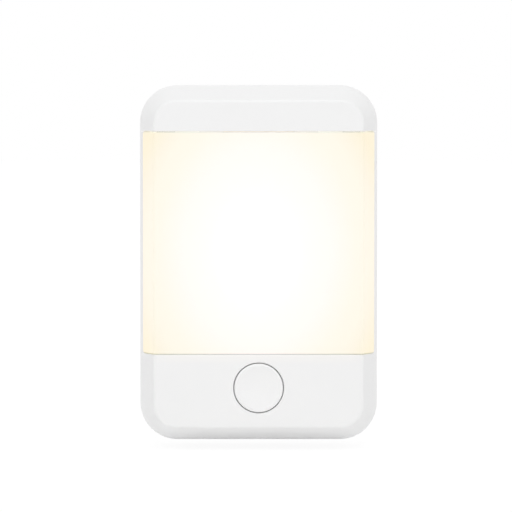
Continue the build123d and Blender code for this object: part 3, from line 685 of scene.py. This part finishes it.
gelLook = {
    "colour": (0.9, 0.72, 0.14),
    "spread": 0.05,
    "size": 0.001,
    "roughness": 0.15,
    "roughnessChange": 0.05,
    "grain": 0.0002,
    "grainDepth": 0.000002,
    "mottle": 0.0003,
    "glowLow": (0.9, 0.68, 0.3),
    "glowHigh": (1.0, 0.82, 0.45),
}


# clear gel full of phosphor: its light is mottled between two colours
def phosphorGel():
    look = gelLook
    gel = Finish("phosphorGel", look)
    mottle = gel.noise(look["mottle"], skinLook["grainDetail"])
    gel.glow(gel.blend(mottle, look["glowLow"], look["glowHigh"]))
    return gel


dropperLook = {
    "colour": (0.78, 0.52, 0.07),
    "spread": 0.03,
    "size": 0.008,
    "roughness": 0.38,
    "roughnessChange": 0.1,
    "grain": 0.0002,
    "grainDepth": 0.000005,
    "legStart": -0.02365,
    "legSoft": 0.00004,
}

varistorLook = {
    "colour": (0.03, 0.1, 0.36),
    "spread": 0.06,
    "size": 0.004,
    "roughness": 0.24,
    "roughnessChange": 0.1,
    "grain": 0.0009,
    "grainDepth": 0.00005,
    "legStart": -0.0245,
    "legSoft": 0.0002,
}


# a boxed or dipped component: a plain skin, and tinned legs below it
def leggedPart(name, look, node):
    part = Finish(name, look)
    part.tinLegs(look)
    part.wear(node)


canLook = {
    "colour": (0.022, 0.028, 0.05),
    "spread": 0.1,
    "size": 0.004,
    "roughness": 0.22,
    "roughnessChange": 0.08,
    "grain": 0.0008,
    "grainDepth": 0.00001,
    "place": (-0.0125, -0.035),
    "stripe": {"colour": (0.5, 0.53, 0.57), "roughness": 0.3, "metal": 0.0},
    "stripeHalfWidth": 0.0012,
    "stripeSide": (0.0, -0.0005),
    "dashPitch": 0.0022,
    "dashHalfWidth": 0.00035,
    "lid": {"colour": (0.72, 0.73, 0.74), "roughness": 0.28, "metal": 1.0},
    "lidRadius": (0.00345, 0.0034),
    "lidDepth": (-0.035, -0.03505),
    "vent": {"colour": (0.4, 0.41, 0.42), "roughness": 0.4, "metal": 1.0, "rise": -0.00008},
    "ventReach": (0.00265, 0.0026),
    "ventHalfWidth": 0.00012,
    "legStart": -0.02365,
    "legSoft": 0.00004,
}


# shrink sleeve with a pale stripe on one side, dashed by a wave along the can, and a metal lid
# with a scored cross: the larger of an upright and a level line, within the vent's reach
def canSleeve():
    look = canLook
    can = Finish("canSleeve", look)
    x, z = can.x - look["place"][0], can.z - look["place"][1]
    onSide = can.near(z, look["stripeHalfWidth"]) * can.step(x, *look["stripeSide"])
    dashes = can.near(can.maths("PINGPONG", can.y, look["dashPitch"]), look["dashHalfWidth"])
    dashes = dashes * can.near(z, look["stripeHalfWidth"] / 2)
    can.coat(onSide * (1.0 - dashes), look["stripe"])
    reach = can.fromAxis(*look["place"])
    lid = can.step(reach, *look["lidRadius"]) * can.step(can.y, *look["lidDepth"])
    can.coat(lid, look["lid"])
    scores = [can.near(line, look["ventHalfWidth"]) for line in (x, z)]
    cross = can.gather("MAXIMUM", scores)
    can.coat(lid * cross * can.step(reach, *look["ventReach"]), look["vent"])
    can.tinLegs(look)
    can.wear("smoothing_capacitor")


fuseLook = {
    "colour": (0.2, 0.42, 0.26),
    "spread": 0.05,
    "size": 0.003,
    "roughness": 0.5,
    "roughnessChange": 0.1,
    "grain": 0.0003,
    "grainDepth": 0.000012,
    "middle": 0.012,
    "bodyReach": (0.00452, 0.00457),
    "bandHalfWidth": 0.00035,
    "bandRoughness": 0.4,
    "bands": [
        (-0.0022, (0.25, 0.1, 0.035)),
        (-0.0009, (0.02, 0.02, 0.02)),
        (0.0004, (0.012, 0.012, 0.012)),
        (0.0024, (0.62, 0.45, 0.13)),
    ],
}


# coated body with four colour bands; its bent legs are tinned
def bandedResistor():
    look = fuseLook
    body = Finish("bandedResistor", look)
    along = body.z - look["middle"]
    for place, colour in look["bands"]:
        band = {"colour": colour, "roughness": look["bandRoughness"], "metal": 0.0}
        body.coat(body.near(along - place, look["bandHalfWidth"]), band)
    body.coat(body.step(abs(along), *look["bodyReach"]), tinned)
    body.wear("fuse_resistor")


blackLook = {
    "colour": (0.026, 0.026, 0.027),
    "spread": 0.15,
    "size": 0.003,
    "roughness": 0.46,
    "roughnessChange": 0.14,
    "grain": 0.00012,
    "grainDepth": 0.000006,
    "rectifierX": 0.013,
    "rectifierSide": (0.00203, 0.00206),
    "mark": {"colour": (0.6, 0.6, 0.58), "roughness": 0.5, "metal": 0.0, "rise": -0.00005},
    "markPlace": (0.0119, 0.0144),
    "markRadius": (0.00028, 0.00024),
    "markDepth": (-0.026, -0.02604),
    "chipX": 0.013,
    "chipPitch": 0.005,
    "chipEnd": (0.0012, 0.00123),
    "chipCeramic": {"colour": (0.82, 0.82, 0.8), "roughness": 0.6, "metal": 0.0},
    "chipTop": (-0.0241, -0.02405),
}


# a black block with a dot sunk into its top, and tinned legs out of both sides
def rectifierBlock():
    look = blackLook
    block = Finish("rectifierBlock", look)
    dot = block.step(block.fromAxis(*look["markPlace"]), *look["markRadius"])
    block.coat(dot * block.step(block.y, *look["markDepth"]), look["mark"])
    side = abs(block.x - look["rectifierX"])
    block.coat(block.step(side, *look["rectifierSide"]), tinned)
    block.wear("bridge_rectifier")


# black film on a white ceramic chip, with a tinned cap at each end
def chipFilm():
    look = blackLook
    chip = Finish("chipFilm", look)
    chip.coat(chip.step(chip.y, *look["chipTop"]), look["chipCeramic"])
    fromChip = abs(abs(chip.x - look["chipX"]) - look["chipPitch"] / 2)
    chip.coat(chip.step(fromChip, *look["chipEnd"]), tinned)
    chip.wear("chip_resistors")


resinLook = {
    "colour": (0.27, 0.28, 0.3),
    "spread": 0.06,
    "size": 0.005,
    "roughness": 0.5,
    "roughnessChange": 0.14,
    "grain": 0.0006,
    "grainDepth": 0.000012,
    "stretch": (0.25, 1.0, 1.0),
}

brassLook = {
    "colour": (0.74, 0.53, 0.22),
    "spread": 0.08,
    "size": 0.002,
    "roughness": 0.26,
    "roughnessChange": 0.14,
    "grain": 0.0002,
    "grainDepth": 0.000002,
    "stretch": (0.1, 1.0, 1.0),
    "metal": 1.0,
    "tipDepth": (-0.03058, -0.03055),
}

springLook = {
    "colour": (0.55, 0.55, 0.56),
    "spread": 0.08,
    "size": 0.001,
    "roughness": 0.28,
    "roughnessChange": 0.12,
    "grain": 0.0001,
    "grainDepth": 0.0000015,
    "metal": 1.0,
}


# stamped brass with silver at the meeting tips
def contactBrass():
    brass = Finish("contactBrass", brassLook)
    brass.coat(brass.step(brass.y, *brassLook["tipDepth"]), silver)
    brass.wear("switch_contact")


wireLook = {
    "spread": 0.05,
    "size": 0.003,
    "roughness": 0.42,
    "roughnessChange": 0.08,
    "grain": 0.0004,
    "grainDepth": 0.000008,
    "strand": 0.00045,
    "strandLean": 0.7,
    "strandDepth": 0.000015,
    "brown": (0.12, 0.045, 0.018),
    "blue": (0.02, 0.1, 0.42),
    "red": (0.5, 0.02, 0.018),
    "black": (0.022, 0.022, 0.023),
    "cupEnd": (-0.0096, -0.0095),
    "boardEnd": (-0.0218, -0.0219),
    "tailEnd": (-0.0222, -0.0221),
    "padEnd": (-0.0122, -0.0121),
}


# pvc over twisted tinned strands: the stripped ends are where the mask is 1, and the strands are
# the sine of the depth plus a share of x and z
def stripWire(wire, bare, node):
    look = wireLook
    slant = wire.y + wire.x * look["strandLean"] + wire.z * look["strandLean"]
    twist = wire.maths("SINE", slant * (2 * math.pi / look["strand"]))
    wire.coat(bare, tinned)
    wire.height = wire.height + bare * twist * look["strandDepth"]
    wire.wear(node)


# mains leads are bare in the solder cup at the back and through the board at the front
def mainsLead(node, colour):
    look = wireLook
    wire = Finish(colour + "Lead", {**look, "colour": look[colour]})
    inCup = wire.step(wire.y, *look["cupEnd"])
    inBoard = wire.step(wire.y, *look["boardEnd"])
    stripWire(wire, wire.maths("MAXIMUM", inCup, inBoard), node)


# LED wires are bare at their tail behind the power board and where they lie on the LED board's pad
def ledWire(node, colour):
    look = wireLook
    wire = Finish(colour + "Wire", {**look, "colour": look[colour]})
    tail = wire.step(wire.y, *look["tailEnd"])
    onPad = wire.step(wire.z, *look["padEnd"])
    stripWire(wire, wire.maths("MAXIMUM", tail, onPad), node)


trayPlastic()
whiteBoard()
greenBoard()
ledPackage()
leggedPart("dropperBox", dropperLook, "dropper_capacitor")
canSleeve()
leggedPart("dippedDisc", varistorLook, "varistor")
bandedResistor()
rectifierBlock()
chipFilm()
Finish("switchPlastic", blackLook).wear("switch_body")
Finish("retainerResin", resinLook).wear("pin_retainer", "switch_base")
Finish("terminalBrass", brassLook).wear("switch_terminals")
contactBrass()
mainsLead("live_lead", "brown")
mainsLead("neutral_lead", "blue")
ledWire("led_wire_positive", "red")
ledWire("led_wire_negative", "black")
print("finishes on the inside")


# a mesh from a grid of points, as rows by columns by three: the columns close into rings, and each
# end row is closed by one face. The signed volume, the sum of each face's corner products, says
# whether the faces have to be turned to point outwards.
def ringMesh(points):
    rows, columns = points.shape[:2]
    corner = np.arange(rows * columns).reshape(rows, columns)
    after = np.roll(corner, -1, axis=1)
    quads = np.stack([corner[:-1], after[:-1], after[1:], corner[1:]], axis=-1).reshape(-1, 4)
    faces = [tuple(face) for face in quads.tolist()]
    faces += [tuple(corner[0, ::-1].tolist()), tuple(corner[-1].tolist())]
    flat = points.reshape(-1, 3)
    a, b, c, d = (flat[quads[:, number]] - flat.mean(axis=0) for number in range(4))
    volume = (np.cross(a, b) * c).sum() + (np.cross(a, c) * d).sum()
    if volume < 0:
        faces = [face[::-1] for face in faces]
    return flat, faces


# edges that turn by more than this many degrees stay sharp
sharpAngle = 50


# one object from several ring meshes, smooth along the rings, riding on a body
def makePiece(name, grids, body, finish):
    points, faces = [], []
    for grid in grids:
        start = sum(len(part) for part in points)
        flat, ringFaces = ringMesh(grid)
        points.append(flat)
        faces += [tuple(start + number for number in face) for face in ringFaces]
    mesh = bpy.data.meshes.new(name)
    mesh.from_pydata(np.concatenate(points).tolist(), [], faces)
    mesh.shade_smooth()
    mesh.set_sharp_from_angle(angle=math.radians(sharpAngle))
    piece = bpy.data.objects.new(name, mesh)
    bpy.context.scene.collection.objects.link(piece)
    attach(piece, body)
    finish.wear(piece)
    return piece


# a lathed form about an axis along y: radius and depth are given along the profile, and every
# profile point is turned round the axis at equal angles
def lathe(place, radii, depths, segments):
    angle = np.linspace(0.0, 2 * np.pi, segments, endpoint=False)
    radii, depths = np.asarray(radii)[:, None], np.asarray(depths)[:, None]
    x = place[0] + radii * np.cos(angle)
    z = place[1] + radii * np.sin(angle)
    return np.stack([x, np.broadcast_to(depths, x.shape), z], axis=-1)


solderLook = {
    "colour": (0.66, 0.665, 0.66),
    "spread": 0.08,
    "size": 0.0015,
    "roughness": 0.2,
    "roughnessChange": 0.12,
    "grain": 0.0004,
    "grainDepth": 0.000006,
    "metal": 1.0,
    "segments": 20,
    "rows": 12,
    "sweep": 2.4,
    "sunk": 0.00002,
    "tip": ((0.7, 1.12), (0.15, 1.16)),
    "legJoint": {"face": -0.022, "away": 1, "pad": 0.00115, "leg": 0.0004, "height": 0.001},
    "leadJoint": {"face": -0.0236, "away": -1, "pad": 0.0014, "leg": 0.00085, "height": 0.00045},
}


# a solder fillet on a leg: from the pad's radius it sweeps up to the leg's, as
# leg + (pad - leg) * (1 - t) ** sweep over the height, and the tip closes it over the leg's cut
# end, in shares of the leg's radius and of the height
def fillet(place, joint):
    look = solderLook
    leg, height = joint["leg"], joint["height"]
    t = np.linspace(0.0, 1.0, look["rows"])
    tip = np.array(look["tip"])
    radii = np.concatenate([leg + (joint["pad"] - leg) * (1 - t) ** look["sweep"], leg * tip[:, 0]])
    rises = np.concatenate([height * t, height * tip[:, 1]])
    depths = joint["face"] + joint["away"] * (rises - look["sunk"])
    return lathe(place, radii, depths, look["segments"])


# one fillet at each hole: the mains leads are soldered in front of the board, the rest behind it
def solderJoints():
    look = solderLook
    joints = []
    for name, pair in holes.items():
        joint = look["leadJoint" if name == "mainsLeads" else "legJoint"]
        joints += [fillet(place, joint) for place in pair]
    makePiece("solder_joints", joints, "housing", Finish("solder", look))


beadLook = {
    "halfWidth": 0.00108,
    "halfHeight": 0.00143,
    "floor": -0.03127,
    "rise": 0.00022,
    "segments": 24,
    "rings": 8,
    "inmost": 0.04,
    "corner": 0.4,
    "fall": 4,
    "rowSteps": (-1, 0, 1),
}


# a soft bead of gel in each LED's cup. Its outline is a rounded rectangle: cosine and sine, kept in
# sign and raised to the corner power, push a circle out into the corners. Its height is
# rise * (1 - ring ** fall), with ring from 1 at the outline to almost 0 in the middle.
def gelBeads():
    look = beadLook
    angle = np.linspace(0.0, 2 * np.pi, look["segments"], endpoint=False)
    ring = np.linspace(1.0, look["inmost"], look["rings"])[:, None]
    across, up = np.cos(angle), np.sin(angle)
    x = look["halfWidth"] * ring * np.sign(across) * np.abs(across) ** look["corner"]
    z = look["halfHeight"] * ring * np.sign(up) * np.abs(up) ** look["corner"]
    y = np.broadcast_to(look["floor"] - look["rise"] * (1 - ring ** look["fall"]), x.shape)
    bead = np.stack([x, y, z], axis=-1)
    beads = []
    for column in sides:
        for row in look["rowSteps"]:
            middleZ = trayLook["ledMiddle"] + row * trayLook["ledPitch"]
            beads.append(bead + (column * trayLook["ledColumn"], 0.0, middleZ))
    makePiece("gel_beads", beads, "housing", phosphorGel())


threadLook = {
    "turnSteps": 20,
    "pitchOverCore": 1.0,
    "crestOverCore": 0.42,
    "rootOverCore": 0.96,
    "rootOverPitch": 0.22,
    "runOut": 2,
    "leastHeight": 0.02,
}


# a thread ridge: a three-cornered section carried along a helix about the screw's axis. It grows
# from almost no height over a part of a turn at both ends, and its root lies inside the core.
def threadRidge(place, start, end, core):
    look = threadLook
    pitch = core * look["pitchOverCore"]
    turns = abs(end - start) / pitch
    t = np.linspace(0.0, 1.0, int(turns * look["turnSteps"]))
    angle = 2 * np.pi * turns * t
    grown = np.clip(np.minimum(t, 1 - t) * turns * look["runOut"], look["leastHeight"], 1.0)
    middle = start + (end - start) * t
    root = core * look["rootOverCore"] + 0 * t
    crest = core * (1 + look["crestOverCore"] * grown)
    reach = np.stack([root, crest, root], axis=1)
    shift = np.array([-1.0, 0.0, 1.0]) * pitch * look["rootOverPitch"]
    y = middle[:, None] + shift * grown[:, None]
    x = place[0] + reach * np.cos(angle)[:, None]
    z = place[1] + reach * np.sin(angle)[:, None]
    return np.stack([x, y, z], axis=-1)


# a ridge for each screw of each set; the single screw's four places fall together into one
def screwThreads():
    for places in screwSets.values():
        axes = dict.fromkeys((side * places["x"], z) for side in sides for z in places["z"])
        ridges = [threadRidge(axis, *places["run"], places["core"]) for axis in axes]
        name = places["thread"]
        makePiece(name, ridges, "housing", Finish(name + "Zinc", screwLook))


# the return spring in the click switch, from its seat at the back to the plunger's flange
coilLook = {
    "turns": 6.6,
    "closedTurns": 0.9,
    "easeTurns": 0.6,
    "closedPitch": 0.00042,
    "turnSteps": 40,
    "wireSides": 14,
    "wireRadius": 0.0002,
    "radius": 0.0017,
    "seat": -0.0246,
    "flange": -0.0309,
    "gap": 0.000003,
    "travel": 0.0018,
}


# a coil of round wire with closed end turns: the pitch eases from closed to open and back, and the
# open pitch is what makes up the rest of the height.
def springCoil():
    look = coilLook
    turns, wire = look["turns"], look["wireRadius"]
    plungerLow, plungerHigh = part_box("switch_plunger")
    middleZ = (plungerLow[2] + plungerHigh[2]) / 2
    t = np.linspace(0.0, 1.0, int(turns * look["turnSteps"]))
    fromEnd = (np.minimum(t, 1 - t) * turns - look["closedTurns"]) / look["easeTurns"]
    fromEnd = np.clip(fromEnd, 0, 1)
    share = fromEnd ** 2 * (3 - 2 * fromEnd)
    rise = look["seat"] - look["flange"] - 2 * (wire + look["gap"])
    steps = (share[1:] + share[:-1]) / 2
    openPitch = (rise / turns - look["closedPitch"] * (1 - steps).mean()) / steps.mean()
    pitch = look["closedPitch"] + (openPitch - look["closedPitch"]) * steps
    height = np.concatenate([[0.0], np.cumsum(pitch) * turns / len(steps)])
    angle = 2 * np.pi * turns * t
    out = np.stack([np.cos(angle), 0 * angle, np.sin(angle)], axis=-1)
    depth = look["seat"] - wire - look["gap"] - height
    middle = out * look["radius"] + np.stack([0 * t, depth, middleZ + 0 * t], axis=-1)
    along = np.gradient(middle, axis=0)
    along = along / np.linalg.norm(along, axis=1)[:, None]
    side = np.cross(along, out)
    turn = np.linspace(0.0, 2 * np.pi, look["wireSides"], endpoint=False)[None, :, None]
    points = middle[:, None] + wire * (np.cos(turn) * out[:, None] + np.sin(turn) * side[:, None])
    finish = Finish("springWire", springLook)
    coil = makePiece("return_spring", [points], "housing", finish)
    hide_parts("switch_spring")
    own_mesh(coil)


for node, places in screwSets.items():
    zincScrews(node, places)
solderJoints()
gelBeads()
screwThreads()
springCoil()
print("solder, gel beads, screw threads and spring")


stageLook = {
    "floorHeight": -0.0471,
    "floorSize": 6.0,
    "floorColour": (1.0, 1.0, 1.0),
    "white": 1.03,
    "share": 0.9,
}


# 1 for rays that show the surroundings: from the camera, off gloss and through clear matter
def seenDirectly(sheet):
    kinds = ("Is Camera Ray", "Is Glossy Ray", "Is Transmission Ray")
    camera, gloss, clear = [sheet.add("ShaderNodeLightPath", output=kind) for kind in kinds]
    return sheet.maths("MINIMUM", camera + gloss + clear, 1.0)


# a wide pale floor under the lamp, part white light where it is seen directly: the rest keeps the
# shadow. Seen from below it lets the view through.
def makeFloor():
    look = stageLook
    half = look["floorSize"] / 2
    corners = [(-half, -half), (half, -half), (half, half), (-half, half)]
    mesh = bpy.data.meshes.new("floor")
    mesh.from_pydata([(x, y, look["floorHeight"]) for x, y in corners], [], [(0, 1, 2, 3)])
    floor = bpy.data.objects.new("floor", mesh)
    bpy.context.scene.collection.objects.link(floor)
    material = bpy.data.materials.new("paleFloor")
    material.use_nodes = True
    sheet = NodeSheet(material.node_tree)
    base = sheet.add("ShaderNodeBsdfDiffuse", {}, {"Color": (*look["floorColour"], 1.0)})
    white = sheet.add("ShaderNodeEmission", {}, {"Strength": look["white"]})
    share = seenDirectly(sheet) * look["share"]
    lit = sheet.add("ShaderNodeMixShader", {}, {0: share, 1: base, 2: white})
    clear = sheet.add("ShaderNodeBsdfTransparent")
    under = sheet.add("ShaderNodeNewGeometry", output="Backfacing")
    both = sheet.add("ShaderNodeMixShader", {}, {0: under, 1: lit, 2: clear})
    sheet.add("ShaderNodeOutputMaterial", {}, {"Surface": both})
    mesh.materials.append(material)


lightLook = {
    "skyTop": (0.88, 0.88, 0.88),
    "skySide": (0.545, 0.545, 0.545),
    "skyBottom": (0.3, 0.3, 0.3),
    "keyPower": 13.6,
    "keySize": (2.0, 1.2),
    "keyPlace": (0.0, -1.45, 1.7),
    "fillPower": 0.8,
    "fillSize": (1.4, 0.5),
    "fillPlace": (0.0, -1.9, 0.2),
    "target": (0.0, -0.03, 0.0),
}


# even light from all round, a little stronger from above; white where it is seen directly
def makeWorld():
    look = lightLook
    world = bpy.data.worlds.new("studio")
    world.use_nodes = True
    bpy.context.scene.world = world
    sheet = NodeSheet(world.node_tree)
    direction = sheet.add("ShaderNodeTexCoord", output="Generated")
    height = sheet.add("ShaderNodeSeparateXYZ", {}, {0: direction}, 2) * 0.5 + 0.5
    stops = [(0.0, look["skyBottom"]), (0.5, look["skySide"]), (1.0, look["skyTop"])]
    sky = sheet.add("ShaderNodeValToRGB", {"stops": stops}, {0: height})
    light = sheet.add("ShaderNodeBackground", {}, {"Color": sky, "Strength": 1.0})
    white = sheet.add("ShaderNodeBackground", {}, {"Color": (1.0, 1.0, 1.0, 1.0), "Strength": 1.0})
    both = sheet.add("ShaderNodeMixShader", {}, {0: seenDirectly(sheet), 1: light, 2: white})
    sheet.add("ShaderNodeOutputWorld", {}, {"Surface": both})


# a soft lamp turned towards the front of the object
def makeLamp(name, power, size, place):
    lamp = bpy.data.lights.new(name, "AREA")
    lamp.shape = "RECTANGLE"
    lamp.size, lamp.size_y = size
    lamp.energy = power
    item = bpy.data.objects.new(name, lamp)
    item.location = place
    ray = Vector(lightLook["target"]) - Vector(place)
    item.rotation_euler = ray.to_track_quat("-Z", "Y").to_euler()
    bpy.context.scene.collection.objects.link(item)


cameraLook = {
    "target": (0.0, -0.0354, 0.0),
    "distance": 0.963,
    "pitch": 2.9,
    "lens": 267.99,
    "sensor": 36.0,
    "clip": (0.01, 20.0),
    "pictureWidth": 512,
    "shift": (-2.62, 7.02),
}


# a long lens that looks slightly down at the target; its shift is in pixels of the picture
def makeCamera():
    look = cameraLook
    lens = bpy.data.cameras.new("camera")
    lens.lens = look["lens"]
    lens.sensor_width = look["sensor"]
    lens.shift_x, lens.shift_y = [part / look["pictureWidth"] for part in look["shift"]]
    lens.clip_start, lens.clip_end = look["clip"]
    camera = bpy.data.objects.new("camera", lens)
    pitch = math.radians(look["pitch"])
    back = Vector((0.0, -math.cos(pitch), math.sin(pitch)))
    camera.location = Vector(look["target"]) + back * look["distance"]
    camera.rotation_euler = (-back).to_track_quat("-Z", "Y").to_euler()
    bpy.context.scene.collection.objects.link(camera)
    bpy.context.scene.camera = camera


makeFloor()
makeWorld()
makeLamp("keyLamp", lightLook["keyPower"], lightLook["keySize"], lightLook["keyPlace"])
makeLamp("fillLamp", lightLook["fillPower"], lightLook["fillSize"], lightLook["fillPlace"])
makeCamera()
bpy.context.scene.view_settings.view_transform = "Standard"
print("floor, lights and camera")
